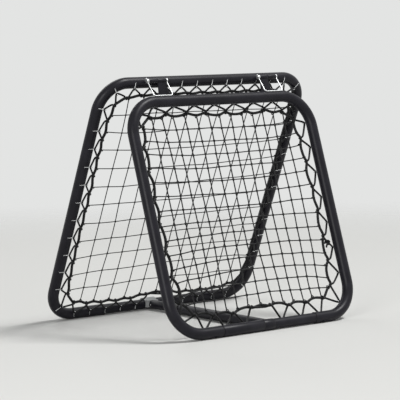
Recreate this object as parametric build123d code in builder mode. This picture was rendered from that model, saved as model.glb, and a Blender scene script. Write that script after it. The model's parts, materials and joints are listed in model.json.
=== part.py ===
"""Pitch back rebounder: two netted tube frames hinged at the top and held apart by a brace on the ground.

Millimetres, +Z up, +X to the right of a player who faces the smaller front frame.
The origin is on the ground, under the middle of the whole rebounder.
"""

from build123d import *

import math
import os
from dataclasses import dataclass

os.makedirs("parts", exist_ok=True)

# ---------------------------------------------------------------- driving dimensions
TUBE_OD = 38.0  # frame tube
TUBE_WALL = 1.5
REAR_WIDTH = 870.0  # centre line to centre line
REAR_HEIGHT = 878.0
REAR_BEND = 98.0  # centre line radius of the corner bends
NEST_SIDE = 47.5  # the front frame is this much smaller on each side
NEST_HEIGHT = 98.0  # and this much lower, so it folds inside the rear one
FRONT_BEND = 112.0
SPREAD = 658.0  # between the two bottom rails
JOINT_HALF = 203.0  # half the gap in each bottom rail, filled by its insert tube
INSERT_DEPTH = 55.0  # how far an insert runs into the frame tube
INSERT_WALL = 2.0
SLIP = 0.1  # radial gap of tubes that plug into each other
RUN = 0.08  # radial gap of parts that turn on each other
SEAT = 0.3  # rest gap between parts of different bodies
WELD = 0.05  # gap left where a welded foot meets a curved wall

# hinges
HINGE_X = 240.0  # from the middle to each hinge
KNUCKLE_UP = 19.0  # pin axis above the rear top rail's centre line, along the frame
KNUCKLE_OUT = 29.0  # and in front of it, square to the frame
HINGE_RISE = 75.0  # pin axis above the front top rail's centre line, along the frame
HINGE_SETBACK = 8.7  # and behind it, square to the frame
KNUCKLE_OD = 14.0
KNUCKLE_LENGTH = 35.5
KNUCKLE_GAP = 1.0
LEAF_THICK = 4.0
LEAF_TOP = 30.0
LEAF_FOOT = 54.0
PIN_D = 8.0
PIN_HEAD_D = 14.0
PIN_HEAD_LENGTH = 8.0
PIN_NOSE = 7.0  # pin past the knuckles
LOOP_WIRE = 4.0
LOOP_BEND = 9.0
LOOP_TAIL = 11.0  # wire end standing out past the pin head
LOOP_EYE_OD = 15.0
LOOP_REST_ANGLE = 15.0  # where the wire lies on the front tube, forward of its top

# nets and lacing
HOOK_WIRE = 3.0
HOOK_ANGLE = 28.0  # from the side with the net back round the tube to the hook's foot
HOOK_STAND = 4.8  # hook arm above the tube wall
HOOK_REACH = 19.5  # hook tip, inward from the tube's centre line
HOOK_TIP = 7.0
FRONT_LOW_HOOKS = (80.0, 252.0)  # first and last hook on half the bottom rail, from its middle
FRONT_SIDE_LEADS = (34.0, -18.0)  # first and last hook of a side, in from its two bends
FRONT_TOP_LEADS = (29.0, 3.0)  # the same on the top rail, from the right
REAR_LOW_HOOKS = (74.0, 340.0)
REAR_SIDE_LEADS = (19.0, 63.0)
REAR_TOP_LEADS = (3.0, 21.0)
FRONT_HOOK_COUNT = (3, 1, 7, 1, 7)  # half the bottom rail, low bend, side, high bend, top
REAR_HOOK_COUNT = (5, 1, 10, 2, 11)
WIDE_SPAN_RATIO = 1.5  # hooks further apart than this many pitches get two turns at the rope
BUNGEE_FRONT_D = 6.0
BUNGEE_REAR_D = 5.0
ROPE_D = 8.0
FRONT_ROPE_INSET = 46.0  # border rope, inward from the tube's centre line
REAR_ROPE_INSET = 41.0
FRONT_TWINE = 2.6
REAR_TWINE = 2.0
FRONT_CELL_COUNT = (14, 15)
REAR_CELL_COUNT = (12, 12)
KNOT_D = 15.0
KNOT_LENGTH = 17.0
FRONT_KNOT_COUNT = 6  # hooks from the bottom centre to the knot, anticlockwise
REAR_KNOT_COUNT = 7

# ground brace
BRACE_X = -4.0
BRACE_OD = 35.0
BRACE_WALL = 1.5
HUB_WIDTH = 44.0
SPACER_GAP = 4.0  # open joint between the frame tube and the spacer sleeve
BRACE_OUTER_LENGTH = 479.0  # front rail's axis to the end of the outer tube
COLLAR_LENGTH = 28.0
COLLAR_LAP = 11.0  # collar over the end of the outer tube
COLLAR_OD = 37.6
COLLAR_FLUTES = 12
FLUTE_D = 3.0
INNER_LAP = 190.0  # inner tube held inside the outer one
CLIP_GAP = 1.0  # open pivot: clip to rear rail
CLIP_WALL = 4.0
CLIP_WIDTH = 50.0
CLIP_DROOP = 25.0  # each jaw of the clip passes the rail's middle by this angle
CLIP_NECK = 28.0  # rail's axis to the clip's flat shoulder
CLIP_NECK_HALF = 15.0
SPIGOT_LENGTH = 26.0
RIVET_D = 4.8
RIVET_SETBACK = 9.0
RIVET_HEAD_D = 8.5
RIVET_HEAD_H = 1.0

# screws of the tube joints
SCREW_D = 5.0
SCREW_HEAD_D = 9.5
SCREW_HEAD_H = 2.6
SCREW_SETBACK = 30.0  # from the end of the frame tube
SCREW_ANGLE = 60.0  # round the tube, from its outer side towards the ground
SCREW_LENGTH = 10.0
SCREW_CLEAR = 0.1

# ---------------------------------------------------------------- derived sizes
TUBE_R = TUBE_OD / 2
INSERT_R = TUBE_R - TUBE_WALL - SLIP
FRONT_WIDTH = REAR_WIDTH - 2 * NEST_SIDE
FRONT_HEIGHT = REAR_HEIGHT - NEST_HEIGHT
INNER_R = BRACE_OD / 2 - BRACE_WALL - SLIP
CLIP_INNER_R = INSERT_R + CLIP_GAP
CLIP_OUTER_R = CLIP_INNER_R + CLIP_WALL
HOOK_N = TUBE_R + HOOK_STAND  # hook arm, square out from the frame's middle plane
LACE_N = HOOK_N - (HOOK_WIRE + BUNGEE_FRONT_D) / 2 - SEAT  # plane of the net and its lacing

# The pin axis, the two bottom rails and the ground make a triangle.
FRONT_LEG = math.hypot(FRONT_HEIGHT + HINGE_RISE, HINGE_SETBACK)
REAR_LEG = math.hypot(REAR_HEIGHT + KNUCKLE_UP, KNUCKLE_OUT)
FRONT_RUN = (FRONT_LEG**2 - REAR_LEG**2 + SPREAD**2) / (2 * SPREAD)
PIN_RISE = math.sqrt(FRONT_LEG**2 - FRONT_RUN**2)
Y_SHIFT = (CLIP_OUTER_R - TUBE_R) / 2  # keeps the origin under the middle of the whole
FRONT_Y = -SPREAD / 2 - Y_SHIFT
REAR_Y = SPREAD / 2 - Y_SHIFT
PIN_Y = FRONT_Y + FRONT_RUN
PIN_Z = TUBE_R + PIN_RISE
FRONT_LEAN = math.atan2(FRONT_RUN, PIN_RISE) - math.atan2(HINGE_SETBACK, FRONT_HEIGHT + HINGE_RISE)
REAR_LEAN = math.atan2(SPREAD - FRONT_RUN, PIN_RISE) - math.atan2(KNUCKLE_OUT, REAR_HEIGHT + KNUCKLE_UP)


@dataclass
class Frame:
    """One netted frame. Its plane has X to the right, Y up the frame and Z out of its front."""

    name: str
    plane: Plane
    width: float
    height: float
    bend: float
    inner: int  # sign of the plane's Z that faces the other frame
    low_hooks: tuple
    side_leads: tuple
    top_leads: tuple
    counts: tuple
    bungee_d: float
    rope_inset: float
    twine: float
    cells: tuple
    knot_hook: int


FRONT = Frame(
    "front",
    Plane(
        origin=(0, FRONT_Y, TUBE_R),
        x_dir=(1, 0, 0),
        z_dir=(0, -math.cos(FRONT_LEAN), math.sin(FRONT_LEAN)),
    ),
    FRONT_WIDTH,
    FRONT_HEIGHT,
    FRONT_BEND,
    -1,
    FRONT_LOW_HOOKS,
    FRONT_SIDE_LEADS,
    FRONT_TOP_LEADS,
    FRONT_HOOK_COUNT,
    BUNGEE_FRONT_D,
    FRONT_ROPE_INSET,
    FRONT_TWINE,
    FRONT_CELL_COUNT,
    FRONT_KNOT_COUNT,
)
REAR = Frame(
    "rear",
    Plane(
        origin=(0, REAR_Y, TUBE_R),
        x_dir=(1, 0, 0),
        z_dir=(0, -math.cos(REAR_LEAN), -math.sin(REAR_LEAN)),
    ),
    REAR_WIDTH,
    REAR_HEIGHT,
    REAR_BEND,
    1,
    REAR_LOW_HOOKS,
    REAR_SIDE_LEADS,
    REAR_TOP_LEADS,
    REAR_HOOK_COUNT,
    BUNGEE_REAR_D,
    REAR_ROPE_INSET,
    REAR_TWINE,
    REAR_CELL_COUNT,
    REAR_KNOT_COUNT,
)


def cross_plane(x, y, z):
    """A plane square to X, with its own X along +Y and its Y straight up."""
    return Plane(origin=(x, y, z), x_dir=(0, 1, 0), z_dir=(1, 0, 0))


def rail_section(x, y):
    """The plane square to a bottom rail at a place along X."""
    return cross_plane(x, y, TUBE_R)


def save(piece, name):
    """Label a finished piece and write it to its own STEP file."""
    piece.part.label = name
    export_step(piece.part, f"parts/{name}.step")


# ---------------------------------------------------------------- frame tubes
def screw_planes(frame):
    """Where the two joint screws enter, low on the outer side of the bottom rail."""
    angle = math.radians(SCREW_ANGLE)
    entry = frame.plane.z_dir * (-frame.inner * math.cos(angle)) - frame.plane.y_dir * math.sin(angle)
    reach = JOINT_HALF + SCREW_SETBACK
    return [
        Plane(origin=frame.plane.from_local_coords((side * reach, 0, 0)), z_dir=entry)
        for side in (-1, 1)
    ]


def make_arch(frame):
    """The long bent tube: both bottom corners, both sides and the top in one piece."""
    half = frame.width / 2
    with BuildPart() as arch:
        with BuildLine(frame.plane) as path:
            FilletPolyline(
                (-JOINT_HALF, 0),
                (-half, 0),
                (-half, frame.height),
                (half, frame.height),
                (half, 0),
                (JOINT_HALF, 0),
                radius=frame.bend,
            )
        with BuildSketch(Plane(origin=path.line @ 0, z_dir=path.line % 0)):
            Circle(TUBE_R)
            Circle(TUBE_R - TUBE_WALL, mode=Mode.SUBTRACT)
        sweep()
        for plane in screw_planes(frame):
            with BuildSketch(plane):
                Circle(SCREW_D / 2 + SCREW_CLEAR)
            extrude(amount=TUBE_OD, mode=Mode.SUBTRACT)
    save(arch, f"{frame.name}_frame_arch")


def make_insert(frame):
    """The straight tube that closes the bottom rail and plugs into both ends of the arch."""
    half = JOINT_HALF + INSERT_DEPTH
    with BuildPart() as insert:
        with BuildSketch(rail_section(-half, frame.plane.origin.Y)):
            Circle(INSERT_R)
            Circle(INSERT_R - INSERT_WALL, mode=Mode.SUBTRACT)
        extrude(amount=2 * half)
        for plane in screw_planes(frame):
            with BuildSketch(plane):
                Circle(SCREW_D / 2 + SCREW_CLEAR)
            extrude(amount=TUBE_OD, mode=Mode.SUBTRACT)
    save(insert, f"{frame.name}_bottom_insert")


def make_screws(frame):
    """Button-head screws that hold the arch on its insert."""
    with BuildPart() as screws:
        for plane in screw_planes(frame):
            with BuildSketch(plane.offset(TUBE_R + WELD)):
                Circle(SCREW_HEAD_D / 2)
            extrude(amount=SCREW_HEAD_H, taper=25)
            with BuildSketch(plane.offset(TUBE_R + WELD - SCREW_LENGTH)):
                Circle(SCREW_D / 2)
            extrude(amount=SCREW_LENGTH)
    save(screws, f"{frame.name}_joint_screws")


# ---------------------------------------------------------------- hooks, lacing and nets
def half_loop(frame):
    """Half of the frame's centre line, from the middle of its bottom rail to that of its top rail."""
    half = frame.width / 2
    with BuildLine(frame.plane) as right:
        FilletPolyline(
            (0, 0),
            (half, 0),
            (half, frame.height),
            (0, frame.height),
            radius=frame.bend,
        )
    return right.wire()


def evenly(first, last, count):
    """Places spread evenly from the first to the last."""
    return [first + (last - first) * index / (count - 1) for index in range(count)]


def hook_stations(frame):
    """How far round the tube's centre line each hook stands, anticlockwise from the bottom middle."""
    low, low_bend, side, high_bend, top = frame.counts
    rail = frame.width / 2 - frame.bend
    arc = math.pi * frame.bend / 2
    post = frame.height - 2 * frame.bend
    half = 2 * rail + 2 * arc + post
    side_low, side_high = frame.side_leads
    foot, head = rail + arc, rail + arc + post
    runs = [
        evenly(*frame.low_hooks, low),
        evenly(foot + side_low, head - side_high, side),
        evenly(head + arc + frame.top_leads[0], 2 * half - head - arc - frame.top_leads[1], top),
        evenly(2 * half - head + side_high, 2 * half - foot - side_low, side),
        evenly(2 * half - frame.low_hooks[1], 2 * half - frame.low_hooks[0], low),
    ]
    stations = list(runs[0])
    for run, bend_hooks in zip(runs[1:], (low_bend, high_bend, high_bend, low_bend)):
        stations += evenly(stations[-1], run[0], bend_hooks + 2)[1:-1] + run
    return stations, 2 * half


def lacing_turns(frame):
    """The lacing's turns in order, from the knot on: how far round each is, and if it is at a hook."""
    stations, length = hook_stations(frame)
    turns = []
    for index, here in enumerate(stations):
        following = stations[(index + 1) % len(stations)] + (length if index + 1 == len(stations) else 0)
        pitch = length / len(stations)
        turns.append((here, True))
        if following - here > WIDE_SPAN_RATIO * pitch:
            turns += [(here + pitch / 2, False), (following - pitch / 2, False)]
        else:
            turns.append(((here + following) / 2, False))
    start = turns.index((stations[frame.knot_hook - 1], True)) + 1
    return turns[start:] + turns[:start], length


def lace_point(frame, right, share, inset):
    """A point at a share of the whole way round the frame, set in from the tube's centre line."""
    walk = 2 * (share % 1)
    side = 1 if walk <= 1 else -1
    at = right.position_at(min(walk, 2 - walk))
    inward = frame.plane.z_dir.cross(right.tangent_at(min(walk, 2 - walk))).normalized()
    spot = at + inward * inset
    return Vector(side * spot.X, spot.Y, spot.Z), Vector(side * inward.X, inward.Y, inward.Z)


def make_hooks(frame):
    """Bent wire hooks over the tube's inner side, one for each outer turn of the lacing."""
    loop = half_loop(frame)
    normal = frame.plane.z_dir * frame.inner
    stations, length = hook_stations(frame)
    shanks = []
    with BuildPart() as hooks:
        for station in stations:
            at, inward = lace_point(frame, loop, station / length, 0)
            local = frame.plane.to_local_coords(at)
            spacer = frame is FRONT and local.X < BRACE_X
            on_insert = abs(local.X) < JOINT_HALF and local.Y < frame.bend and not spacer
            wall = INSERT_R if on_insert else TUBE_R
            by_hinge = local.Y > frame.height / 2 and abs(abs(local.X) - HINGE_X) < 2 * KNUCKLE_LENGTH
            by_ground = local.Y < TUBE_R
            angle = 0 if by_hinge or by_ground else math.radians(HOOK_ANGLE)
            out = normal * math.cos(angle) - inward * math.sin(angle)
            with BuildLine() as path:
                Polyline(
                    at + out * (wall + WELD),
                    at + out * (HOOK_N / math.cos(angle)),
                    at + normal * HOOK_N + inward * HOOK_REACH,
                    at + normal * (HOOK_N - HOOK_TIP) + inward * HOOK_REACH,
                )
            with BuildSketch(Plane(origin=path.line @ 0, x_dir=out.cross(inward), z_dir=out)):
                RegularPolygon(HOOK_WIRE / 2, 6)
            shanks.append(sweep(path=path.line, transition=Transition.RIGHT, mode=Mode.PRIVATE))
        add(shanks)
    save(hooks, f"{frame.name}_net_hooks")


def make_bungee(frame):
    """The elastic lacing, in zigzag from the hooks to the border rope, and its joining knot."""
    loop = half_loop(frame)
    plane_shift = frame.plane.z_dir * (frame.inner * LACE_N)
    radius = frame.bungee_d / 2
    order, length = lacing_turns(frame)

    def turn(station, hooked, sharpness):
        """A turn round a hook's tip, or one against the rope. A sharper bend stands further off."""
        at_hook = HOOK_REACH - (HOOK_WIRE / 2 + radius + 2 * SEAT) * sharpness
        at_rope = frame.rope_inset - ROPE_D / 2 - SEAT - radius * sharpness
        return lace_point(frame, loop, station / length, at_hook if hooked else at_rope)[0] + plane_shift

    turns = [turn(station, hooked, 1) for station, hooked in order]
    for _ in range(3):
        opening = [
            math.radians((turns[index - 1] - at).get_angle(turns[(index + 1) % len(turns)] - at)) / 2
            for index, at in enumerate(turns)
        ]
        turns = [turn(*which, 1 / math.sin(half)) for which, half in zip(order, opening)]
    gap = (turns[0] - turns[-1]).normalized()
    knot_at = (turns[0] + turns[-1]) * 0.5
    with BuildPart() as bungee:
        with BuildLine() as path:
            Polyline(knot_at + gap, *turns, knot_at - gap)
        with BuildSketch(Plane(origin=path.line @ 0, z_dir=path.line % 0)):
            RegularPolygon(radius, 6)
        sweep(path=path.line, transition=Transition.RIGHT)
    save(bungee, f"{frame.name}_bungee")
    with BuildPart() as knot:
        with BuildSketch(Plane(origin=knot_at - gap * (KNOT_LENGTH / 2), z_dir=gap)):
            Circle(KNOT_D / 2)
            Circle(radius + WELD, mode=Mode.SUBTRACT)
        extrude(amount=KNOT_LENGTH)
        rims = knot.edges().filter_by(GeomType.CIRCLE).filter_by(lambda rim: rim.radius > KNOT_D / 3)
        fillet(rims, radius=KNOT_D / 4)
    save(knot, f"{frame.name}_bungee_knot")


def make_net(frame):
    """The border rope, and the mesh that fills it."""
    level = frame.plane.offset(frame.inner * LACE_N)
    width = frame.width - 2 * frame.rope_inset
    height = frame.height - 2 * frame.rope_inset
    corner = frame.bend - frame.rope_inset
    low = frame.rope_inset
    with BuildPart() as rope:
        with BuildLine(level) as path:
            FilletPolyline(
                (0, low),
                (width / 2, low),
                (width / 2, low + height),
                (-width / 2, low + height),
                (-width / 2, low),
                (-JOINT_HALF, low),
                radius=corner,
            )
            Line((-JOINT_HALF, low), (0, low))
        with BuildSketch(Plane(origin=path.line @ 0, z_dir=path.line % 0)):
            Circle(ROPE_D / 2)
        sweep()
    save(rope, f"{frame.name}_border_rope")

    mesh_width = width - ROPE_D - 2 * SEAT
    mesh_height = height - ROPE_D - 2 * SEAT
    mesh_corner = corner - ROPE_D / 2 - SEAT
    across, up = frame.cells
    middle = level.from_local_coords((0, frame.height / 2, 0))
    with BuildPart() as net:
        with BuildSketch(level.shift_origin(middle)):
            with GridLocations(mesh_width / across, 0, across - 1, 1):
                Rectangle(frame.twine, mesh_height)
            with GridLocations(0, mesh_height / up, 1, up - 1):
                Rectangle(mesh_width, frame.twine)
            RectangleRounded(mesh_width, mesh_height, mesh_corner, mode=Mode.INTERSECT)
            with BuildSketch():
                RectangleRounded(mesh_width, mesh_height, mesh_corner)
                offset(amount=-frame.twine, mode=Mode.SUBTRACT)
        extrude(amount=frame.twine / 2, both=True)
    save(net, f"{frame.name}_net")


# ---------------------------------------------------------------- hinges
def knuckle_span(side, outer):
    """Where a knuckle starts along X: the rear frame has the outer ones, the front the inner."""
    away = side if outer else -side
    centre = side * HINGE_X + away * (KNUCKLE_LENGTH + KNUCKLE_GAP) / 2
    return centre - KNUCKLE_LENGTH / 2


def make_hinge_half(frame, side, along, square, outer, foot):
    """A knuckle on a tapered plate whose foot is coped to the frame's top rail."""
    start = knuckle_span(side, outer)
    middle = start + KNUCKLE_LENGTH / 2
    pin = Vector(0, PIN_Y, PIN_Z)
    rail = frame.plane.from_local_coords((0, frame.height, 0))
    up = (Vector(0, pin.Y, pin.Z) - Vector(0, rail.Y, rail.Z)).normalized() if outer else frame.plane.y_dir
    drop = math.hypot(along, square) if outer else along
    face = Plane(origin=(middle, PIN_Y, PIN_Z), x_dir=(1, 0, 0), z_dir=Vector(1, 0, 0).cross(up))
    with BuildPart() as half:
        with BuildSketch(face):
            with BuildLine():
                Polyline(
                    (-LEAF_TOP / 2, 0),
                    (LEAF_TOP / 2, 0),
                    (foot / 2, -drop),
                    (-foot / 2, -drop),
                    close=True,
                )
            make_face()
        extrude(amount=LEAF_THICK / 2, both=True)
        with BuildSketch(cross_plane(start, PIN_Y, PIN_Z)):
            Circle(KNUCKLE_OD / 2)
        extrude(amount=KNUCKLE_LENGTH)
        with BuildSketch(cross_plane(middle - foot, rail.Y, rail.Z)):
            Circle(TUBE_R)
        extrude(amount=2 * foot, mode=Mode.SUBTRACT)
        with BuildSketch(cross_plane(start - foot, PIN_Y, PIN_Z)):
            Circle(PIN_D / 2 + RUN)
        extrude(amount=KNUCKLE_LENGTH + 2 * foot, mode=Mode.SUBTRACT)
    return half


def make_hinges():
    """Two hinges, each with a knuckle on either frame."""
    for side, name in ((-1, "left"), (1, "right")):
        save(
            make_hinge_half(REAR, side, KNUCKLE_UP, KNUCKLE_OUT, True, LEAF_TOP),
            f"rear_hinge_knuckle_{name}",
        )
        save(
            make_hinge_half(FRONT, side, HINGE_RISE, HINGE_SETBACK, False, LEAF_FOOT),
            f"front_hinge_leaf_{name}",
        )


def make_pins():
    """Quick-release hinge pins, each with the square wire loop that locks it."""
    barrel = KNUCKLE_LENGTH + KNUCKLE_GAP / 2
    head_x = barrel + SEAT + PIN_HEAD_LENGTH / 2
    eye_x = barrel + SEAT + LOOP_WIRE / 2
    rail = FRONT.plane.from_local_coords((0, FRONT_HEIGHT, 0))
    rest = math.radians(LOOP_REST_ANGLE)
    touch = TUBE_R + SEAT + LOOP_WIRE / 2
    bar = Vector(0, rail.Y - touch * math.sin(rest), rail.Z + touch * math.cos(rest))
    pin_at = Vector(0, PIN_Y, PIN_Z)
    down = (bar - pin_at).normalized()
    leg = (bar - pin_at).length
    for side, name in ((-1, "left"), (1, "right")):
        middle = Vector(side * HINGE_X, PIN_Y, PIN_Z)
        level = Plane(origin=middle, x_dir=(1, 0, 0), z_dir=Vector(1, 0, 0).cross(down * -1))
        with BuildPart() as pin:
            with BuildSketch(cross_plane(middle.X - barrel - SEAT, PIN_Y, PIN_Z)):
                Circle(PIN_D / 2)
            extrude(amount=2 * barrel + SEAT + PIN_NOSE)
            chamfer(pin.faces().sort_by(Axis.X)[-1].edges(), PIN_D / 8)
            with BuildSketch(
                cross_plane(middle.X - head_x - PIN_HEAD_LENGTH / 2, PIN_Y, PIN_Z)
            ):
                Circle(PIN_HEAD_D / 2)
            extrude(amount=PIN_HEAD_LENGTH)
            with BuildSketch(Plane(origin=middle - Vector(head_x, 0, 0), z_dir=down)):
                Circle(LOOP_WIRE / 2 + SLIP)
            extrude(amount=PIN_HEAD_D, both=True, mode=Mode.SUBTRACT)
        save(pin, f"hinge_pin_{name}")
        with BuildPart() as wire:
            with BuildLine(level) as path:
                FilletPolyline(
                    (-head_x, LOOP_TAIL),
                    (-head_x, -leg),
                    (eye_x, -leg),
                    (eye_x, (LOOP_WIRE - LOOP_EYE_OD) / 2),
                    radius=LOOP_BEND,
                )
            with BuildSketch(Plane(origin=path.line @ 0, z_dir=path.line % 0)):
                Circle(LOOP_WIRE / 2)
            sweep()
            with BuildSketch(
                cross_plane(middle.X + eye_x - LOOP_WIRE / 2, PIN_Y, PIN_Z)
            ):
                Circle(LOOP_EYE_OD / 2)
            extrude(amount=LOOP_WIRE)
            with BuildSketch(
                cross_plane(middle.X + eye_x - LOOP_WIRE, PIN_Y, PIN_Z)
            ):
                Circle(PIN_D / 2 + RUN)
            extrude(amount=2 * LOOP_WIRE, mode=Mode.SUBTRACT)
        save(wire, f"pin_wire_loop_{name}")


# ---------------------------------------------------------------- ground brace
def brace_section(y):
    """The plane square to the brace at a place along it."""
    return Plane(origin=(BRACE_X, y, TUBE_R), x_dir=(1, 0, 0), z_dir=(0, 1, 0))


def make_brace_front():
    """Spacer sleeve and hub on the front insert, and the outer tube coped to the hub."""
    spacer_start = SPACER_GAP - JOINT_HALF
    spacer_end = BRACE_X - HUB_WIDTH / 2 - SEAT
    with BuildPart() as spacer:
        with BuildSketch(rail_section(spacer_start, FRONT_Y)):
            Circle(TUBE_R)
            Circle(INSERT_R + SLIP, mode=Mode.SUBTRACT)
        extrude(amount=spacer_end - spacer_start)
    save(spacer, "front_spacer_sleeve")

    with BuildPart() as hub:
        with BuildSketch(rail_section(BRACE_X - HUB_WIDTH / 2, FRONT_Y)):
            Circle(TUBE_R)
            Circle(INSERT_R + RUN, mode=Mode.SUBTRACT)
        extrude(amount=HUB_WIDTH)
    save(hub, "brace_hub")

    with BuildPart() as outer:
        with BuildSketch(brace_section(FRONT_Y)):
            Circle(BRACE_OD / 2)
            Circle(BRACE_OD / 2 - BRACE_WALL, mode=Mode.SUBTRACT)
        extrude(amount=BRACE_OUTER_LENGTH)
        with BuildSketch(rail_section(BRACE_X - HUB_WIDTH, FRONT_Y)):
            Circle(TUBE_R)
        extrude(amount=2 * HUB_WIDTH, mode=Mode.SUBTRACT)
    save(outer, "brace_outer_tube")


def make_brace_rear():
    """Twist collar, inner tube and the clip that snaps over the rear rail."""
    tube_end = FRONT_Y + BRACE_OUTER_LENGTH
    with BuildPart() as collar:
        with BuildSketch(brace_section(tube_end - COLLAR_LAP)):
            Circle(COLLAR_OD / 2)
            Circle(BRACE_OD / 2 + RUN, mode=Mode.SUBTRACT)
        extrude(amount=COLLAR_LAP + SEAT)
        with BuildSketch(brace_section(tube_end + SEAT)):
            Circle(COLLAR_OD / 2)
            Circle(INNER_R + RUN, mode=Mode.SUBTRACT)
        extrude(amount=COLLAR_LENGTH - COLLAR_LAP - SEAT)
        with BuildSketch(brace_section(tube_end + SEAT)):
            with PolarLocations(COLLAR_OD / 2 + FLUTE_D / 4, COLLAR_FLUTES):
                Circle(FLUTE_D / 2)
        extrude(amount=COLLAR_LENGTH, mode=Mode.SUBTRACT)
    save(collar, "brace_lock_collar")

    shoulder = REAR_Y - CLIP_NECK
    rivet_y = shoulder - RIVET_SETBACK
    inner_start = tube_end - INNER_LAP
    with BuildPart() as inner:
        with BuildSketch(brace_section(inner_start)):
            Circle(INNER_R)
            Circle(INNER_R - BRACE_WALL, mode=Mode.SUBTRACT)
        extrude(amount=shoulder - inner_start)
        with BuildSketch(rail_section(BRACE_X - BRACE_OD, rivet_y)):
            Circle(RIVET_D / 2 + SLIP)
        extrude(amount=2 * BRACE_OD, mode=Mode.SUBTRACT)
    save(inner, "brace_inner_tube")

    droop = math.radians(CLIP_DROOP)
    jaw_drop = CLIP_OUTER_R * math.sin(droop)
    with BuildPart() as clip:
        with BuildSketch(rail_section(BRACE_X - CLIP_WIDTH / 2, REAR_Y)):
            Circle(CLIP_OUTER_R)
            with Locations((-CLIP_NECK / 2, 0)):
                Rectangle(CLIP_NECK, 2 * CLIP_NECK_HALF)
            Circle(CLIP_INNER_R, mode=Mode.SUBTRACT)
            with Locations((0, -jaw_drop - CLIP_OUTER_R)):
                Rectangle(4 * CLIP_OUTER_R, 2 * CLIP_OUTER_R, mode=Mode.SUBTRACT)
        extrude(amount=CLIP_WIDTH)
        with BuildSketch(brace_section(shoulder - SPIGOT_LENGTH)):
            Circle(INNER_R - BRACE_WALL - SLIP)
        extrude(amount=SPIGOT_LENGTH)
        with BuildSketch(rail_section(BRACE_X - BRACE_OD, rivet_y)):
            Circle(RIVET_D / 2 + SLIP)
        extrude(amount=2 * BRACE_OD, mode=Mode.SUBTRACT)
    save(clip, "brace_rear_clip")

    with BuildPart() as rivet:
        with BuildSketch(rail_section(BRACE_X - INNER_R - RIVET_HEAD_H, rivet_y)):
            Circle(RIVET_D / 2)
        extrude(amount=2 * (INNER_R + RIVET_HEAD_H))
    save(rivet, "brace_clip_rivet")


for netted in (FRONT, REAR):
    make_arch(netted)
    make_insert(netted)
    make_screws(netted)
    make_hooks(netted)
    make_bungee(netted)
    make_net(netted)
make_hinges()
make_pins()
make_brace_front()
make_brace_rear()
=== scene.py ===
"""Looks of the pitch back rebounder: coated tubes, knotted nets, laced elastic and wire hooks."""

import json
import math
import random
from dataclasses import dataclass

import bpy
import numpy as np
from mathutils import Matrix, Vector

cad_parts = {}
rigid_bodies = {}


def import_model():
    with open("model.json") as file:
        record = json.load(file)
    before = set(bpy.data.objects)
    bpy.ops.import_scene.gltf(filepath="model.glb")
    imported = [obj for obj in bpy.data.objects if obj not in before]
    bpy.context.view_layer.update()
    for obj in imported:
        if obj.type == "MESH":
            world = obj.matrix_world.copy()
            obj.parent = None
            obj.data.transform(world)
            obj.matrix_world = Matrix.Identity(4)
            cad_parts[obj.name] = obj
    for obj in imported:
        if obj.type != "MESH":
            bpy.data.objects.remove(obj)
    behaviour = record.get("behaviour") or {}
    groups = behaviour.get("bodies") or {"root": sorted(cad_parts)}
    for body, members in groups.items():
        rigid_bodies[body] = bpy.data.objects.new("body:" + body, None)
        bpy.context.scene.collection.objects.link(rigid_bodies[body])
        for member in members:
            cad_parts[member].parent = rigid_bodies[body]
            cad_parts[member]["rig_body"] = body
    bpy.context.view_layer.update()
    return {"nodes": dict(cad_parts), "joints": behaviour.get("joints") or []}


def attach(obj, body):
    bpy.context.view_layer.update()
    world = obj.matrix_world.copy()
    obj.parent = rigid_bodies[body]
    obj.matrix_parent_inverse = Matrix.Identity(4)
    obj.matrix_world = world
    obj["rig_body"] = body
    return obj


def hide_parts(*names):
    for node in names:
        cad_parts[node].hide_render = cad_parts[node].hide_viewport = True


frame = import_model()
MM = 0.001
chance = random.Random(7)

# ---------------------------------------------------------------- camera
# Low and a little left of the front frame, with a long lens.
camera_data = bpy.data.cameras.new("camera")
camera = bpy.data.objects.new("camera", camera_data)
bpy.context.scene.collection.objects.link(camera)
bpy.context.scene.camera = camera
camera_data.sensor_width = 36.0
camera_data.lens = 165.1
camera_data.shift_y = 0.004
camera_data.clip_end = 60.0
look = Vector((0.6201, 0.7790, -0.0931)).normalized()
level_right = look.cross(Vector((0, 0, 1))).normalized()
level_up = level_right.cross(look)
roll = math.radians(-0.82)
right = math.cos(roll) * level_right + math.sin(roll) * level_up
up = math.cos(roll) * level_up - math.sin(roll) * level_right
camera.matrix_world = Matrix.Translation((-3.920, -4.9007, 0.994)) @ Matrix(
    (
        (right.x, up.x, -look.x, 0),
        (right.y, up.y, -look.y, 0),
        (right.z, up.z, -look.z, 0),
        (0, 0, 0, 1),
    )
)


# ---------------------------------------------------------------- materials
def linear(code):
    """An sRGB hex colour as the linear numbers that a shader takes."""
    parts = [int(code[i : i + 2], 16) / 255 for i in (1, 3, 5)]
    shades = (c / 12.92 if c <= 0.04045 else ((c + 0.055) / 1.055) ** 2.4 for c in parts)
    return tuple(shades) + (1.0,)


def add_node(tree, kind, settings=None, links=None):
    """Adds a node, sets its properties and sockets, and links inputs to other nodes' outputs."""
    made = tree.nodes.new(kind)
    for key, value in (settings or {}).items():
        if isinstance(key, str) and hasattr(made, key):
            setattr(made, key, value)
        else:
            made.inputs[key].default_value = value
    for key, source in (links or {}).items():
        tree.links.new(source, made.inputs[key])
    return made


def new_material(name):
    """An empty material with its output node, ready for a surface."""
    material = bpy.data.materials.new(name)
    material.use_nodes = True
    tree = material.node_tree
    tree.nodes.clear()
    return material, tree, add_node(tree, "ShaderNodeOutputMaterial")


def blend(tree, factor, shade, light):
    """A colour that goes from shade to light with a factor."""
    tint = add_node(tree, "ShaderNodeMix", {"data_type": "RGBA"}, {"Factor": factor})
    # A mix node's colours are its seventh and eighth inputs and its third output.
    tint.inputs[6].default_value = linear(shade)
    tint.inputs[7].default_value = linear(light)
    return tint.outputs[2]


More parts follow.
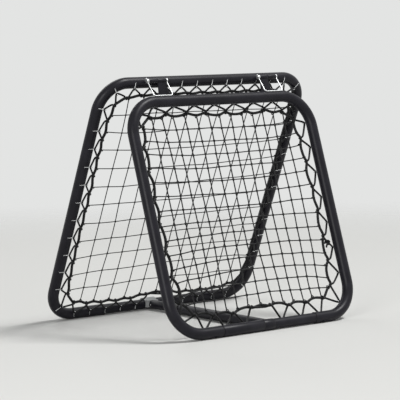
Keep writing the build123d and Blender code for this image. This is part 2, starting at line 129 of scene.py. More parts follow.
def close_material(made, settings, links):
    """Ends a new material with one principled surface."""
    material, tree, output = made
    surface = add_node(tree, "ShaderNodeBsdfPrincipled", settings, links)
    tree.links.new(surface.outputs["BSDF"], output.inputs["Surface"])
    return material


def powder_coated_steel():
    """Satin black powder on steel: a soft broad sheen, faint orange peel, a little dust."""
    made = new_material("powder_coated_steel")
    tree = made[1]
    place = add_node(tree, "ShaderNodeTexCoord").outputs["Object"]
    # Orange peel is about 0.8 mm across on the real coat; it is drawn at 1.6 mm so that it shows.
    peel = add_node(tree, "ShaderNodeTexNoise", {"Scale": 620.0, "Detail": 2.0}, {"Vector": place})
    # Handling marks and dust lie in patches 40 to 80 mm across.
    dust = add_node(
        tree,
        "ShaderNodeTexNoise",
        {"Scale": 16.0, "Detail": 4.0, "Roughness": 0.62},
        {"Vector": place},
    )
    cloud = add_node(
        tree,
        "ShaderNodeMapRange",
        {"From Min": 0.42, "From Max": 0.72},
        {"Value": dust.outputs["Fac"]},
    )
    rough = add_node(
        tree,
        "ShaderNodeMapRange",
        {"From Min": 0.3, "From Max": 0.75, "To Min": 0.34, "To Max": 0.44},
        {"Value": dust.outputs["Fac"]},
    )
    bump = add_node(
        tree,
        "ShaderNodeBump",
        {"Strength": 0.22, "Distance": 0.0003},
        {"Height": peel.outputs["Fac"]},
    )
    return close_material(
        made,
        {"IOR": 1.5, "Specular IOR Level": 0.2},
        {
            "Base Color": blend(tree, cloud.outputs["Result"], "#18171d", "#222128"),
            "Roughness": rough.outputs["Result"],
            "Normal": bump.outputs["Normal"],
        },
    )


def zinc_plated_steel(name, shade, light, rough_low):
    """Zinc plating on drawn steel, with a slightly clouded film that is clear or black."""
    made = new_material(name)
    tree = made[1]
    place = add_node(tree, "ShaderNodeTexCoord").outputs["Object"]
    # The film clouds in patches about 3 mm across.
    film = add_node(tree, "ShaderNodeTexNoise", {"Scale": 330.0, "Detail": 3.0}, {"Vector": place})
    rough = add_node(
        tree,
        "ShaderNodeMapRange",
        {"To Min": rough_low, "To Max": rough_low + 0.2},
        {"Value": film.outputs["Fac"]},
    )
    return close_material(
        made,
        {"Metallic": 1.0},
        {
            "Base Color": blend(tree, film.outputs["Fac"], shade, light),
            "Roughness": rough.outputs["Result"],
        },
    )


def cord_material(name, shade, light, strands, lay_mm, depth, roughness, braided):
    """A fibre cord, whose strands follow a map from 0 to 1 around and in millimetres along, with
    painted shade in the grooves between its strands.
    """
    made = new_material(name)
    tree = made[1]
    lay = add_node(tree, "ShaderNodeUVMap", {"uv_map": "cord"})
    split = add_node(tree, "ShaderNodeSeparateXYZ", {}, {"Vector": lay.outputs["UV"]})
    around = add_node(
        tree,
        "ShaderNodeMath",
        {"operation": "MULTIPLY", 1: strands * math.pi},
        {0: split.outputs["X"]},
    )
    along = add_node(
        tree,
        "ShaderNodeMath",
        {"operation": "MULTIPLY", 1: math.pi / lay_mm},
        {0: split.outputs["Y"]},
    )
    heights = []
    for turn in ("ADD", "SUBTRACT") if braided else ("ADD",):
        angle = add_node(
            tree, "ShaderNodeMath", {"operation": turn}, {0: around.outputs[0], 1: along.outputs[0]}
        )
        wave = add_node(tree, "ShaderNodeMath", {"operation": "SINE"}, {0: angle.outputs[0]})
        height = add_node(tree, "ShaderNodeMath", {"operation": "ABSOLUTE"}, {0: wave.outputs[0]})
        heights.append(height)
    ridge = heights[0]
    if braided:
        ridge = add_node(
            tree,
            "ShaderNodeMath",
            {"operation": "MULTIPLY"},
            {0: heights[0].outputs[0], 1: heights[1].outputs[0]},
        )
    bump = add_node(
        tree,
        "ShaderNodeBump",
        {"Strength": 0.8, "Distance": depth * MM},
        {"Height": ridge.outputs[0]},
    )
    return close_material(
        made,
        {
            "Roughness": roughness,
            "Specular IOR Level": 0.25,
            "Sheen Weight": 0.04,
            "Sheen Roughness": 0.5,
        },
        {
            # The colour follows the strands' height: painted shade in the grooves between strands,
            # lighter on the ridges.
            "Base Color": blend(tree, ridge.outputs[0], shade, light),
            "Normal": bump.outputs["Normal"],
        },
    )


def moulded_plastic(name, colour, pale, roughness):
    """Injection-moulded nylon with a fine spark-eroded texture; in near-black, the same surface
    paints the shadow rings at the tube mouths.
    """
    made = new_material(name)
    tree = made[1]
    place = add_node(tree, "ShaderNodeTexCoord").outputs["Object"]
    # Spark erosion leaves grains of about 0.2 mm; they are drawn at 0.8 mm so that they show.
    grain = add_node(
        tree, "ShaderNodeTexNoise", {"Scale": 1250.0, "Detail": 1.0}, {"Vector": place}
    )
    wear = add_node(tree, "ShaderNodeTexNoise", {"Scale": 45.0, "Detail": 3.0}, {"Vector": place})
    bump = add_node(
        tree,
        "ShaderNodeBump",
        {"Strength": 0.25, "Distance": 0.0002},
        {"Height": grain.outputs["Fac"]},
    )
    return close_material(
        made,
        {"Roughness": roughness, "IOR": 1.53},
        {
            "Base Color": blend(tree, wear.outputs["Fac"], colour, pale),
            "Normal": bump.outputs["Normal"],
        },
    )


POWDER_COAT = powder_coated_steel()
ZINC = zinc_plated_steel("zinc_plated_wire", "#c4c6c8", "#e6e7e6", 0.3)
BLACK_ZINC = zinc_plated_steel("black_zinc_screw_heads", "#141416", "#1f1f22", 0.4)
# Each cord's first colour is the painted shade in its grooves, the second the colour of its ridges.
# Twisted polyethylene twine, three strands, one turn each 9 mm.
TWINE = cord_material("polyethylene_net_twine", "#070708", "#121214", 3, 9.0, 0.4, 0.55, False)
# Braided polypropylene rope, eight strands a side, one pick each 7 mm.
ROPE = cord_material("braided_polypropylene_rope", "#070708", "#131315", 4, 7.0, 0.6, 0.62, True)
# Elastic cord in a woven polyester sheath, finer than the rope.
ELASTIC = cord_material("woven_elastic_cord", "#080809", "#17171a", 5, 4.0, 0.35, 0.5, True)
BLACK_NYLON = moulded_plastic("black_moulded_nylon", "#141416", "#1e1e20", 0.5)
# A near-black for the rings at the tube mouths, which paint the shadow in the gaps where the tubes
# meet.
SHADOW_GAP_BLACK = moulded_plastic("black_rubber_lip", "#040404", "#090909", 0.8)
GREY_NYLON = moulded_plastic("grey_moulded_nylon", "#8a8c8c", "#a2a4a3", 0.45)


# ---------------------------------------------------------------- the two frames
TUBE_R = 19.0
HOOK_WIRE = 3.0  # the solids' wire, which the elastic's place is reckoned from
WIRE_R = 1.25  # the wire as drawn
HOOK_ANGLE = 28.0  # a hook's lean outward, in degrees
HOOK_REACH = 19.5  # from the tube's centre line inward to a hook's far end
HOOK_STAND = 4.8  # from the tube's wall up to a hook's arm
HOOK_LEVEL = TUBE_R + HOOK_STAND
LACE_LEVEL = HOOK_LEVEL - HOOK_STAND
HINGE_ZONE = (240.0, 71.0)  # the hinges' place across, and how near them hooks stand upright
ROPE_R = 4.6
WIDE_SPAN = 1.5  # hooks further apart than this many pitches have two rope turns between them


@dataclass
class NettedFrame:
    """One frame in millimetres. Its own axes: across, up the frame and out of its front."""

    name: str
    rail_y: float
    lean: float  # degrees from upright
    width: float  # between centre lines, as is the height
    height: float
    bend: float
    inner: int  # which way along its own Z the side towards the other frame lies
    cells: tuple  # meshes across and up
    counts: tuple  # hooks on half the bottom, a low bend, a side, a high bend and the top
    low_hooks: tuple  # first and last hook on half the bottom
    side_leads: tuple  # from a side's low and high ends to its first and last hooks
    top_leads: tuple  # from the top's right and left ends to its first and last hooks
    knot_hook: int  # the elastic is tied after this hook
    twine_r: float
    elastic_r: float
    rope_pull: float  # pulls are measured against the twine's, which is 1
    elastic_pull: float
    low_share: float  # how much of the elastic's pull is left near the bottom middle
    weight: float  # of one knot

    def __post_init__(self):
        lean = math.radians(self.lean)
        side = -self.inner
        out = Vector((0, -math.cos(lean), side * math.sin(lean)))
        rise = Vector((0, side * math.sin(lean), math.cos(lean)))
        self.place = Matrix.Translation((0, self.rail_y * MM, TUBE_R * MM)) @ Matrix(
            ((1, 0, 0, 0), (0, rise.y, out.y, 0), (0, rise.z, out.z, 0), (0, 0, 0, 1))
        )

    def rim(self, share):
        """The tube's centre line at a share of its loop from the bottom middle, and the way in."""
        left = share > 0.5
        walk = 2 * min(share, 1 - share) * self.half_length()
        half, bend = self.width / 2, self.bend
        arc = math.pi * bend / 2
        runs = (half - bend, arc, self.height - 2 * bend, arc, half - bend)
        stage = 0
        while stage < 4 and walk > runs[stage]:
            walk -= runs[stage]
            stage += 1
        turn = walk / bend
        if stage == 0:
            spot, way = (walk, 0), (0, 1)
        elif stage == 1:
            way = (-math.sin(turn), math.cos(turn))
            spot = (half - bend - bend * way[0], bend - bend * way[1])
        elif stage == 2:
            spot, way = (half, bend + walk), (-1, 0)
        elif stage == 3:
            way = (-math.cos(turn), -math.sin(turn))
            spot = (half - bend - bend * way[0], self.height - bend - bend * way[1])
        else:
            spot, way = (half - bend - walk, self.height), (0, -1)
        flip = -1 if left else 1
        return np.array((flip * spot[0], spot[1])), np.array((flip * way[0], way[1]))

    def half_length(self):
        """Half the length round the tube's centre line."""
        return self.width + self.height - 4 * self.bend + math.pi * self.bend

    def hook_places(self):
        """How far round the centre line each hook stands, anticlockwise from the bottom middle."""
        rail = self.width / 2 - self.bend
        arc = math.pi * self.bend / 2
        half, foot = self.half_length(), rail + arc
        head = half - foot
        low, low_bend, side, high_bend, top = self.counts
        runs = [
            np.linspace(*self.low_hooks, low),
            np.linspace(foot + self.side_leads[0], head - self.side_leads[1], side),
            np.linspace(
                head + arc + self.top_leads[0], 2 * half - head - arc - self.top_leads[1], top
            ),
            np.linspace(
                2 * half - head + self.side_leads[1], 2 * half - foot - self.side_leads[0], side
            ),
            2 * half - np.linspace(*self.low_hooks, low)[::-1],
        ]
        places = list(runs[0])
        for run, bend_hooks in zip(runs[1:], (low_bend, high_bend, high_bend, low_bend)):
            bend = np.linspace(places[-1], run[0], bend_hooks + 2)[1:-1]
            places += list(bend) + list(run)
        return places

    def lacing(self):
        """The elastic's turns from its knot on: how far round, as a share, and if at a hook."""
        places, length = self.hook_places(), 2 * self.half_length()
        pitch = length / len(places)
        turns = []
        for here, following in zip(places, places[1:] + [places[0] + length]):
            turns.append((here / length, True))
            if following - here > WIDE_SPAN * pitch:
                turns.append(((here + pitch / 2) / length, False))
                turns.append((((following - pitch / 2) / length) % 1, False))
            else:
                turns.append((((here + following) / 2 / length) % 1, False))
        start = turns.index((places[self.knot_hook - 1] / length, True)) + 1
        return turns[start:] + turns[:start]


rail = next(j for j in frame["joints"] if j["name"] == "brace_pivot")["pos_m"]
FRONT_Y = rail[1] / MM
SPREAD = 658.0  # between the two bottom rails
FRONT = NettedFrame(
    name="front",
    rail_y=FRONT_Y,
    lean=18.0014,
    width=775.0,
    height=780.0,
    bend=112.0,
    inner=-1,
    cells=(14, 15),
    counts=(3, 1, 7, 1, 7),
    low_hooks=(80.0, 252.0),
    side_leads=(34.0, -18.0),
    top_leads=(29.0, 3.0),
    knot_hook=6,
    twine_r=2.1,
    elastic_r=3.5,
    rope_pull=1.4,
    elastic_pull=1.7,
    low_share=0.6,
    weight=0.25,
)
REAR = NettedFrame(
    name="rear",
    rail_y=FRONT_Y + SPREAD,
    lean=23.5865,
    width=870.0,
    height=878.0,
    bend=98.0,
    inner=1,
    cells=(12, 12),
    counts=(5, 1, 10, 2, 11),
    low_hooks=(74.0, 340.0),
    side_leads=(19.0, 63.0),
    top_leads=(3.0, 21.0),
    knot_hook=7,
    twine_r=1.6,
    elastic_r=3.1,
    rope_pull=1.5,
    elastic_pull=1.8,
    low_share=0.7,
    weight=0.4,
)


# ---------------------------------------------------------------- shape tools
def smooth_line(points, closed, steps=6):
    """A line that leaves its corner points by an even curve, touching the middle of each run."""
    points = [np.array(p, float) for p in points]
    count = len(points)
    line = [] if closed else [points[0]]
    for i in range(count) if closed else range(1, count - 1):
        before, corner, after = points[i - 1], points[i], points[(i + 1) % count]
        start, end = (before + corner) / 2, (corner + after) / 2
        for k in range(steps):
            t = k / steps
            line.append(start * (1 - t) ** 2 + corner * 2 * t * (1 - t) + end * t**2)
    if not closed:
        line += [(points[-2] + points[-1]) / 2, points[-1]]
    return np.array(line)


def cords(name, lines, radius, sides, closed, place):
    """One mesh of round cords along lines in millimetres, with a map around and along each."""
    verts, faces, coords = [], [], []
    for line in lines:
        count = len(line)
        if closed:
            tangents = np.roll(line, -1, 0) - np.roll(line, 1, 0)
        else:
            tangents = np.gradient(line, axis=0)
        tangents /= np.linalg.norm(tangents, axis=1)[:, None] + 1e-12
        steps = np.linalg.norm(np.diff(line, axis=0, append=line[:1]), axis=1)
        run = np.concatenate(([0], np.cumsum(steps)))
        normal = np.cross(tangents[0], (0.31, 0.23, 0.92))
        first = len(verts)
        for i in range(count):
            normal = normal - tangents[i] * (normal @ tangents[i])
            normal /= np.linalg.norm(normal) + 1e-12
            other = np.cross(tangents[i], normal)
            for k in range(sides):
                angle = 2 * math.pi * k / sides
                spoke = math.cos(angle) * normal + math.sin(angle) * other
                verts.append(line[i] + radius * spoke)
        for i in range(count if closed else count - 1):
            j = (i + 1) % count
            shift = 0
            if closed and j == 0:
                last = np.array(verts[first + i * sides]) - line[i]
                gaps = [np.linalg.norm(verts[first + k] - line[0] - last) for k in range(sides)]
                shift = int(np.argmin(gaps))
            for k in range(sides):
                m = (k + 1) % sides
                faces.append(
                    (
                        first + i * sides + k,
                        first + i * sides + m,
                        first + j * sides + (m + shift) % sides,
                        first + j * sides + (k + shift) % sides,
                    )
                )
                low, high = k / sides, (k + 1) / sides
                coords += [(low, run[i]), (high, run[i]), (high, run[i + 1]), (low, run[i + 1])]
        if not closed:
            for ring, flip in ((first, True), (first + (count - 1) * sides, False)):
                cap = [ring + k for k in range(sides)]
                faces.append(tuple(reversed(cap)) if flip else tuple(cap))
                coords += [(k / sides, 0.0) for k in range(sides)]
    mesh = bpy.data.meshes.new(name)
    mesh.from_pydata([tuple(v * MM) for v in verts], [], faces)
    layer = mesh.uv_layers.new(name="cord")
    layer.data.foreach_set("uv", np.array(coords, np.float32).ravel())
    mesh.transform(place)
    made = bpy.data.objects.new(name, mesh)
    bpy.context.scene.collection.objects.link(made)
    mesh.shade_smooth()
    return made


def finish_piece(piece, material, body, slot, *nodes):
    """Gives a piece its material and body, and says which plain solids it stands for."""
    piece.data.materials.clear()
    piece.data.materials.append(material)
    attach(piece, body)
    if nodes:
        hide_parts(*nodes)


def select_only(piece):
    """Makes one object the only selected and active one."""
    bpy.ops.object.select_all(action="DESELECT")
    piece.select_set(True)
    bpy.context.view_layer.objects.active = piece


def join(pieces, name):
    """Joins meshes into the first of them, under a name."""
    select_only(pieces[0])
    for piece in pieces[1:]:
        piece.select_set(True)
    bpy.ops.object.join()
    pieces[0].name = name
    return pieces[0]


# ---------------------------------------------------------------- nets and lacing
def border(across, rows):
    """The net's border knots in order, anticlockwise from the bottom middle."""
    return (
        [(i, 0) for i in range(across // 2, across)]
        + [(across, j) for j in range(rows)]
        + [(i, rows) for i in range(across, 0, -1)]
        + [(0, j) for j in range(rows, 0, -1)]
        + [(i, 0) for i in range(across // 2)]
    )


def rest_places(count, pulls, ends, weight):
    """Where points linked by pulls, some of them tied to fixed ends, come to rest."""
    matrix = np.zeros((count, count))
    load = np.zeros((count, 3))
    for p, q, pull in pulls:
        matrix[p, p] += pull
        matrix[q, q] += pull
        matrix[p, q] -= pull
        matrix[q, p] -= pull
    for p, anchor, pull in ends:
        matrix[p, p] += pull
        load[p, :2] += pull * anchor
    return np.linalg.solve(matrix, load + weight)


HOOK_CLEARANCE = 0.6  # between the elastic and the hook it goes round
TURN_MARGIN = 0.2  # a rope turn stays this share of a mesh away from a border knot
PAIR_MARGIN = 0.3  # and two turns on one mesh stay this far from its knots
TWINE_SPREAD = 0.12  # how unevenly the twine and the elastic pull
ELASTIC_SPREAD = 0.1
ROPE_TO_ROPE = 8  # the elastic pulls this much less between two turns on the rope


def settle(f):
    """Where the knots, the rope and the elastic's turns come to rest under pulls and weight."""
    across, rows = f.cells
    stops = f.lacing()
    outer = HOOK_REACH - HOOK_WIRE / 2 - f.elastic_r - HOOK_CLEARANCE
    knots = {(i, j): i * (rows + 1) + j for i in range(across + 1) for j in range(rows + 1)}
    edge = border(across, rows)
    start = 0.5 if across % 2 else 0.0
    total = len(edge)
    pulls = []
    count = len(knots)
    turns, on_edge = [], {}
    for share, hooked in stops:
        if hooked:
            spot, way = f.rim(share)
            turns.append(spot + way * outer)
            continue
        at = (share * total - start) % total
        part = min(1 - TURN_MARGIN, max(TURN_MARGIN, at - int(at)))
        on_edge.setdefault(int(at) % total, []).append((part, count))
        turns.append(count)
        count += 1
    rope = []
    for s in range(total):
        following = knots[edge[(s + 1) % total]]
        along = [(0.0, knots[edge[s]])] + sorted(on_edge.get(s, [])) + [(1.0, following)]
        if len(along) == 4 and along[2][0] - along[1][0] < PAIR_MARGIN:
            along[1] = (PAIR_MARGIN, along[1][1])
            along[2] = (1 - PAIR_MARGIN, along[2][1])
        for (a, p), (b, q) in zip(along, along[1:]):
            pulls.append((p, q, f.rope_pull / (b - a)))
            rope.append(p)
    for (i, j), p in knots.items():
        if i < across and 0 < j < rows:
            uneven = chance.uniform(-TWINE_SPREAD, TWINE_SPREAD)
            pulls.append((p, knots[(i + 1, j)], 1.0 + uneven))
        if j < rows and 0 < i < across:
            uneven = chance.uniform(-TWINE_SPREAD, TWINE_SPREAD)
            pulls.append((p, knots[(i, j + 1)], 1.0 + uneven))
    ends = []
    for k, (share, hooked) in enumerate(stops):
        if hooked:
            continue
        low = min(share, 1 - share) < 0.5 * f.width / 2 / f.half_length()
        for other in (turns[k - 1], turns[(k + 1) % len(turns)]):
            pull = f.elastic_pull * (1 + chance.uniform(-ELASTIC_SPREAD, ELASTIC_SPREAD))
            pull *= f.low_share if low else 1
            if isinstance(other, int):
                pulls.append((turns[k], other, pull / ROPE_TO_ROPE))
            else:
                ends.append((turns[k], other, pull))
    down = f.place.to_3x3().inverted() @ Vector((0, 0, -1))
    return knots, rope, turns, rest_places(count, pulls, ends, np.array(down) * f.weight)


def overhand(middle, along, side, sizes, count, spin=0.0):
    """A closed overhand knot round a middle, with its sizes along, to the side and out."""
    out = np.array((0.0, 0.0, 1.0))
    loop = []
    for k in range(count):
        t = 2 * math.pi * k / count + spin
        x = (math.sin(t) + 2 * math.sin(2 * t)) * sizes[0]
        y = (math.cos(t) - 2 * math.cos(2 * t)) * sizes[1]
        z = -math.sin(3 * t) * sizes[2]
        loop.append(middle + along * x + side * y + out * z)
    return loop


def hitch(here, way, reach, slip):
    """A loop of twine round the rope, that slips a little along it."""
    cross = np.cross(way, (0, 0, 1))
    loop = []
    for k in range(12):
        angle = 2 * math.pi * k / 12
        ring = math.cos(angle) * cross + math.sin(angle) * np.array((0, 0, 1))
        loop.append(here + reach * ring + way * slip * math.sin(angle / 2))
    return loop


def make_twine(f, knots, rope, spots, body):
    """The knotted net, whose outer lines are the border rope's."""
    across, rows = f.cells
    lines = []
    for i in range(1, across):
        lines.append(smooth_line([spots[knots[(i, j)]] for j in range(rows + 1)], False, 4))
    for j in range(1, rows):
        lines.append(smooth_line([spots[knots[(i, j)]] for i in range(across + 1)], False, 4))
    net = cords(f"{f.name}_knotted_net", lines, f.twine_r, 6, False, f.place)

    ties = []
    size = f.twine_r * 1.25
    for (i, j), p in knots.items():
        if i in (0, across) and j in (0, rows):
            continue
        spin = chance.uniform(0, math.pi)
        if i in (0, across) or j in (0, rows):
            beside = rope.index(p)
            before = spots[rope[beside - 1]]
            after = spots[rope[(beside + 1) % len(rope)]]
            way = (after - before) / np.linalg.norm(after - before)
            loop = hitch(spots[p], way, ROPE_R + f.twine_r * 0.8, 0.9 * size)
        else:
            loop = overhand(
                spots[p],
                np.array((1.0, 0.0, 0.0)),
                np.array((0.0, 1.0, 0.0)),
                (size * 0.55, size * 0.55, size * 0.9),
                9,
                spin,
            )
        ties.append(smooth_line(loop, True, 2))
    knotting = cords(f"{f.name}_net_knots", ties, f.twine_r * 0.85, 5, True, f.place)
    net = join([net, knotting], net.name)
    finish_piece(net, TWINE, body, "net_twine", f"{f.name}_net")


def elastic_points(f, turns, spots, level):
    """The elastic's way round each hook, and over, round and under the rope at each turn."""
    points = []
    r = f.elastic_r
    lift = (ROPE_R + r) * 0.95
    at = [spots[turn] if isinstance(turn, int) else np.append(turn, level[2]) for turn in turns]
    for k, (share, hooked) in enumerate(f.lacing()):
        previous, here, following = at[k - 1], at[k], at[(k + 1) % len(at)]
        inward = np.append(f.rim(share)[1], 0)
        if hooked:
            slide = np.array((inward[1], -inward[0], 0.0)) * (HOOK_WIRE / 2 + r)
            if (slide @ (following - previous)) < 0:
                slide = -slide
            points.append(here - slide + inward * 1.3)
            points.append(here - inward * 1.2)
            points.append(here + slide + inward * 1.3)
            continue
        over = here + np.array((0, 0, lift)) * f.inner
        under = here - np.array((0, 0, lift)) * f.inner
        points.append(over + (previous - here) * 0.18)
        points.append(over + inward * 2)
        points.append(here + inward * (ROPE_R + r) * 1.25)
        points.append(under + inward * 2)
        points.append(under + (following - here) * 0.18)
    return points


def make_elastic(f, turns, spots, level, body):
    """The elastic lacing, and the overhand knot with short tails in which its two ends meet."""
    points = elastic_points(f, turns, spots, level)
    r = f.elastic_r
    line = smooth_line(points, False, 4)
    lacing = cords(f"{f.name}_elastic_lacing", [line], r, 8, False, f.place)
    finish_piece(lacing, ELASTIC, body, "elastic_cord", f"{f.name}_bungee")

    first, last = points[0], points[-1]
    middle = (first + last) / 2 + np.array((0, 0, 1.0)) * f.inner * 2
    along = (last - first) / (np.linalg.norm(last - first) + 1e-9)
    side = np.cross(along, (0, 0, 1))
    knot = smooth_line(overhand(middle, along, side, (r, r * 0.8, r * 0.9), 12), True, 4)
    knot_piece = cords(f"{f.name}_lacing_knot", [knot], r * 0.95, 8, True, f.place)
    tails = []
    for end, out, back in ((first, 14, -6), (last, 20, 9)):
        run = [end, end * 0.5 + middle * 0.5, middle, middle + side * out + along * back]
        tails.append(smooth_line(run, False, 5))
    tail_piece = cords(f"{f.name}_lacing_tails", tails, r * 0.95, 8, False, f.place)
    knot_piece = join([knot_piece, tail_piece], knot_piece.name)
    finish_piece(knot_piece, ELASTIC, body, "elastic_cord", f"{f.name}_bungee_knot")


def make_net(f):
    """The net, its border rope and its lacing, settled together."""
    knots, rope, turns, places = settle(f)
    level = np.array((0, 0, f.inner * LACE_LEVEL))
    spots = places + level
    body = f"{f.name}_frame"
    make_twine(f, knots, rope, spots, body)
    run = smooth_line([spots[p] for p in rope], True, 5)
    border_rope = cords(f"{f.name}_braided_rope", [run], ROPE_R, 12, True, f.place)
    finish_piece(border_rope, ROPE, body, "border_rope", f"{f.name}_border_rope")
    make_elastic(f, turns, spots, level, body)


for netted in (FRONT, REAR):
    make_net(netted)


# ---------------------------------------------------------------- hooks
HOOK_BEND = 3.2  # centre-line radius of the bend at the top of a hook's foot
TIP_BEND = 3.4  # and of the curl at its tip
TIP_CURL = 120.0  # degrees of curl
TIP_END = (-1.6, 0.0, -2.8)  # the straight run after it
FOOT_SINK = 0.5  # a hook's foot starts this far inside the tube's wall


def bend_end(angle, centre):
    """Carries the open end of the wire round a bend about Y."""
    bpy.ops.mesh.spin(steps=5, angle=angle, center=centre, axis=(0, 1, 0))


def extend_end(move):
    """Carries the open end of the wire along a straight run."""
    bpy.ops.mesh.extrude_region_move(TRANSFORM_OT_translate={"value": move})


def make_hook(angle):
    """A bent wire hook: out of the wall at an angle to Z, inward along X, and curled at its tip."""
    wall = TUBE_R - FOOT_SINK
    top = (HOOK_LEVEL - HOOK_BEND * (1 + math.sin(angle))) / math.cos(angle)
    lean = Matrix.Rotation(-angle, 4, "Y")
    foot, heel = lean @ Vector((0, 0, wall)), lean @ Vector((HOOK_BEND, 0, top))
    bpy.ops.object.select_all(action="DESELECT")
    bpy.ops.mesh.primitive_circle_add(
        vertices=8,
        radius=WIRE_R * MM,
        location=foot * MM,
        rotation=(0, -angle, 0),
        fill_type="NGON",
    )
    hook = bpy.context.active_object
    bpy.ops.object.transform_apply(location=True, rotation=True, scale=True)
    bpy.ops.object.mode_set(mode="EDIT")
    bpy.ops.mesh.select_all(action="SELECT")
    extend_end(lean @ Vector((0, 0, top - wall)) * MM)
    bend_end(math.pi / 2 + angle, heel * MM)
    reach, level = HOOK_REACH - TIP_BEND, HOOK_LEVEL - TIP_BEND
    extend_end(((reach - heel.x) * MM, 0, 0))
    bend_end(math.radians(TIP_CURL), (reach * MM, 0, level * MM))
    extend_end([step * MM for step in TIP_END])
    bpy.ops.mesh.select_all(action="SELECT")
    bpy.ops.mesh.normals_make_consistent(inside=False)
    bpy.ops.object.mode_set(mode="OBJECT")
    bpy.ops.object.shade_smooth()
    return hook


def make_hooks(f):
    """The bent wire hooks on the frame's inner side."""
    leaning, upright = make_hook(math.radians(HOOK_ANGLE)), make_hook(0.0)
    placed = []
    for place in f.hook_places():
        spot, way = f.rim(place / (2 * f.half_length()))
        near_hinge = abs(abs(spot[0]) - HINGE_ZONE[0]) < HINGE_ZONE[1]
        on_bottom = spot[1] < TUBE_R
        stands = on_bottom or (near_hinge and spot[1] > f.height / 2)
        pattern = upright if stands else leaning
        inward = Vector((way[0], way[1], 0))
        normal = Vector((0, 0, f.inner))
        across = normal.cross(inward)
        stand = Matrix.Translation((spot[0] * MM, spot[1] * MM, 0)) @ Matrix(
            (
                (inward.x, across.x, normal.x, 0),
                (inward.y, across.y, normal.y, 0),
                (inward.z, across.z, normal.z, 0),
                (0, 0, 0, 1),
            )
        )
        copy = pattern.copy()
        copy.data = pattern.data.copy()
        copy.data.transform(f.place @ stand)
        copy.name = f"{f.name}_hook"
        bpy.context.scene.collection.objects.link(copy)
        placed.append(copy)
    bpy.data.objects.remove(leaning)
    bpy.data.objects.remove(upright)
    hooks = join(placed, f"{f.name}_wire_hooks")
    finish_piece(hooks, ZINC, f"{f.name}_frame", "zinc_steel", f"{f.name}_net_hooks")


for netted in (FRONT, REAR):
    make_hooks(netted)


# ---------------------------------------------------------------- tubes, plates and fittings
MERGE_WITHIN = 0.00001  # metres
FLAT_WITHIN = math.radians(0.5)
BREAK_ABOVE = math.radians(50)
SMOOTH_BELOW = math.radians(35)


def refine(node, material, slot, edge=0.0):
    """A copy of a solid with smooth round faces and edges softly broken by some millimetres."""
    source = frame["nodes"][node]
    piece = bpy.data.objects.new(f"{node}_finished", source.data.copy())
    bpy.context.scene.collection.objects.link(piece)
    select_only(piece)
    bpy.ops.object.mode_set(mode="EDIT")
    bpy.ops.mesh.select_all(action="SELECT")
    bpy.ops.mesh.remove_doubles(threshold=MERGE_WITHIN)
    bpy.ops.mesh.dissolve_limited(angle_limit=FLAT_WITHIN)
    bpy.ops.object.mode_set(mode="OBJECT")
    if edge:
        bevel = piece.modifiers.new("edge", "BEVEL")
        bevel.width = edge * MM
        bevel.segments = 2
        bevel.limit_method = "ANGLE"
        bevel.angle_limit = BREAK_ABOVE
        bpy.ops.object.modifier_apply(modifier="edge")
    bpy.ops.object.shade_smooth_by_angle(angle=SMOOTH_BELOW)
    finish_piece(piece, material, source["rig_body"], slot, node)


for node in ("front_frame_arch", "rear_frame_arch", "front_bottom_insert", "rear_bottom_insert"):
    refine(node, POWDER_COAT, "black_powder_coat")
for node in ("front_spacer_sleeve", "brace_hub", "brace_outer_tube", "brace_inner_tube"):
    refine(node, POWDER_COAT, "black_powder_coat", 0.3)
for side in ("left", "right"):
    refine(f"front_hinge_leaf_{side}", POWDER_COAT, "black_powder_coat", 0.4)
    refine(f"rear_hinge_knuckle_{side}", POWDER_COAT, "black_powder_coat", 0.4)
    refine(f"hinge_pin_{side}", ZINC, "zinc_steel", 0.5)
    refine(f"pin_wire_loop_{side}", ZINC, "zinc_steel")
for name in ("front", "rear"):
    refine(f"{name}_joint_screws", BLACK_ZINC, "zinc_steel", 0.3)
refine("brace_clip_rivet", ZINC, "zinc_steel", 0.3)
refine("brace_lock_collar", BLACK_NYLON, "black_plastic", 0.4)
refine("brace_rear_clip", GREY_NYLON, "grey_plastic", 0.6)


JOINT_HALF = 203.0  # from the middle to the joint on each side of a bottom rail
SHADOW_RING_R = 1.1  # radius of a painted shadow ring's section
SHADOW_RING_SINK = 0.6  # how far that section's middle lies below the tube's surface


def make_painted_shadow_rings(f, places):
    """Near-black rings at the mouths of the tubes that meet on the bottom rail: painted shadow in
    the gaps where they meet.
    """
    rings = []
    for across in places:
        bpy.ops.mesh.primitive_torus_add(
            major_segments=48,
            minor_segments=10,
            major_radius=(TUBE_R - SHADOW_RING_SINK) * MM,
            minor_radius=SHADOW_RING_R * MM,
            rotation=(0, math.pi / 2, 0),
        )
        ring = bpy.context.active_object
        bpy.ops.object.transform_apply(location=True, rotation=True, scale=True)
        ring.data.transform(f.place @ Matrix.Translation((across * MM, 0, 0)))
        bpy.ops.object.shade_smooth()
        rings.append(ring)
    shadow_rings = join(rings, f"{f.name}_mouth_rings")
    finish_piece(shadow_rings, SHADOW_GAP_BLACK, f"{f.name}_frame", "black_plastic")


# Near-black rings paint the shadow in the gaps at the bottom rails' joints.
sleeve = frame["nodes"]["front_spacer_sleeve"].data
SLEEVE_END = max(v.co.x for v in sleeve.vertices) / MM
make_painted_shadow_rings(FRONT, (-JOINT_HALF, SLEEVE_END - SHADOW_RING_R, JOINT_HALF))
make_painted_shadow_rings(REAR, (-JOINT_HALF, JOINT_HALF))


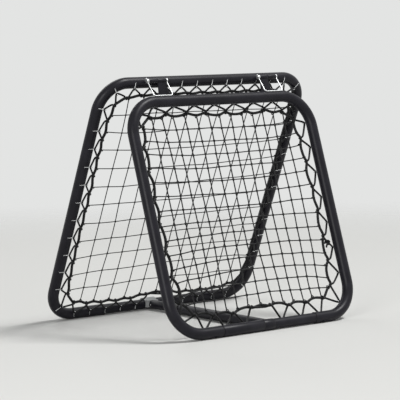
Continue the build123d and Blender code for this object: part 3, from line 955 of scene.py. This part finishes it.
# ---------------------------------------------------------------- floor and light
BACKDROP = linear("#e3e4e3")
FADE_FROM, FADE_TO = 2.2, 4.5  # metres from the object, over which the floor goes into the backdrop
floor_material, floor_tree, floor_output = new_material("pale_floor")
floor_place = add_node(floor_tree, "ShaderNodeTexCoord").outputs["Object"]
floor_reach = add_node(
    floor_tree, "ShaderNodeVectorMath", {"operation": "LENGTH"}, {0: floor_place}
)
floor_fade = add_node(
    floor_tree,
    "ShaderNodeMapRange",
    {"interpolation_type": "SMOOTHSTEP", "From Min": FADE_FROM, "From Max": FADE_TO},
    {"Value": floor_reach.outputs["Value"]},
)
floor_surface = add_node(
    floor_tree,
    "ShaderNodeBsdfPrincipled",
    {"Base Color": linear("#d9d9d6"), "Roughness": 0.9},
)
floor_clear = add_node(floor_tree, "ShaderNodeBsdfTransparent")
floor_mix = add_node(
    floor_tree,
    "ShaderNodeMixShader",
    {},
    {
        0: floor_fade.outputs["Result"],
        1: floor_surface.outputs["BSDF"],
        2: floor_clear.outputs["BSDF"],
    },
)
floor_tree.links.new(floor_mix.outputs["Shader"], floor_output.inputs["Surface"])
bpy.ops.object.select_all(action="DESELECT")
bpy.ops.mesh.primitive_plane_add(size=12, location=(0, 0, -0.0005))
floor = bpy.context.active_object
floor.name = "floor"
floor.data.materials.append(floor_material)

world = bpy.data.worlds.new("studio")
bpy.context.scene.world = world
world.use_nodes = True
world_tree = world.node_tree
daylight = world_tree.nodes["Background"]
daylight.inputs["Color"].default_value = linear("#f2f4f6")
daylight.inputs["Strength"].default_value = 0.2
backdrop = add_node(world_tree, "ShaderNodeBackground", {"Color": BACKDROP, "Strength": 1.0})
# The camera and mirrored or refracted rays see the backdrop; the rest are lit by dim daylight.
path = add_node(world_tree, "ShaderNodeLightPath")
mirrored = add_node(
    world_tree,
    "ShaderNodeMath",
    {"operation": "MAXIMUM"},
    {0: path.outputs["Is Glossy Ray"], 1: path.outputs["Is Transmission Ray"]},
)
seen = add_node(
    world_tree,
    "ShaderNodeMath",
    {"operation": "MAXIMUM"},
    {0: path.outputs["Is Camera Ray"], 1: mirrored.outputs["Value"]},
)
world_mix = add_node(
    world_tree,
    "ShaderNodeMixShader",
    {},
    {
        0: seen.outputs["Value"],
        1: daylight.outputs["Background"],
        2: backdrop.outputs["Background"],
    },
)
world_out = next(n for n in world_tree.nodes if n.bl_idname == "ShaderNodeOutputWorld")
world_tree.links.new(world_mix.outputs["Shader"], world_out.inputs["Surface"])


AIM = Vector((0, 0, 0.4))  # the middle of the object


def softbox(name, place, size, power):
    """A square soft lamp that faces the object."""
    data = bpy.data.lights.new(name, "AREA")
    data.size = size
    data.energy = power
    lamp = bpy.data.objects.new(name, data)
    bpy.context.scene.collection.objects.link(lamp)
    lamp.location = place
    lamp.rotation_euler = (AIM - Vector(place)).to_track_quat("-Z", "Y").to_euler()


softbox("key", (4.0, -3.6, 10.2), 3.0, 1000)
softbox("fill", (-4.4, -2.8, 1.9), 2.0, 105)
softbox("back", (0.4, 3.6, 3.4), 2.4, 34)

scene = bpy.context.scene
scene.view_settings.view_transform = "Standard"
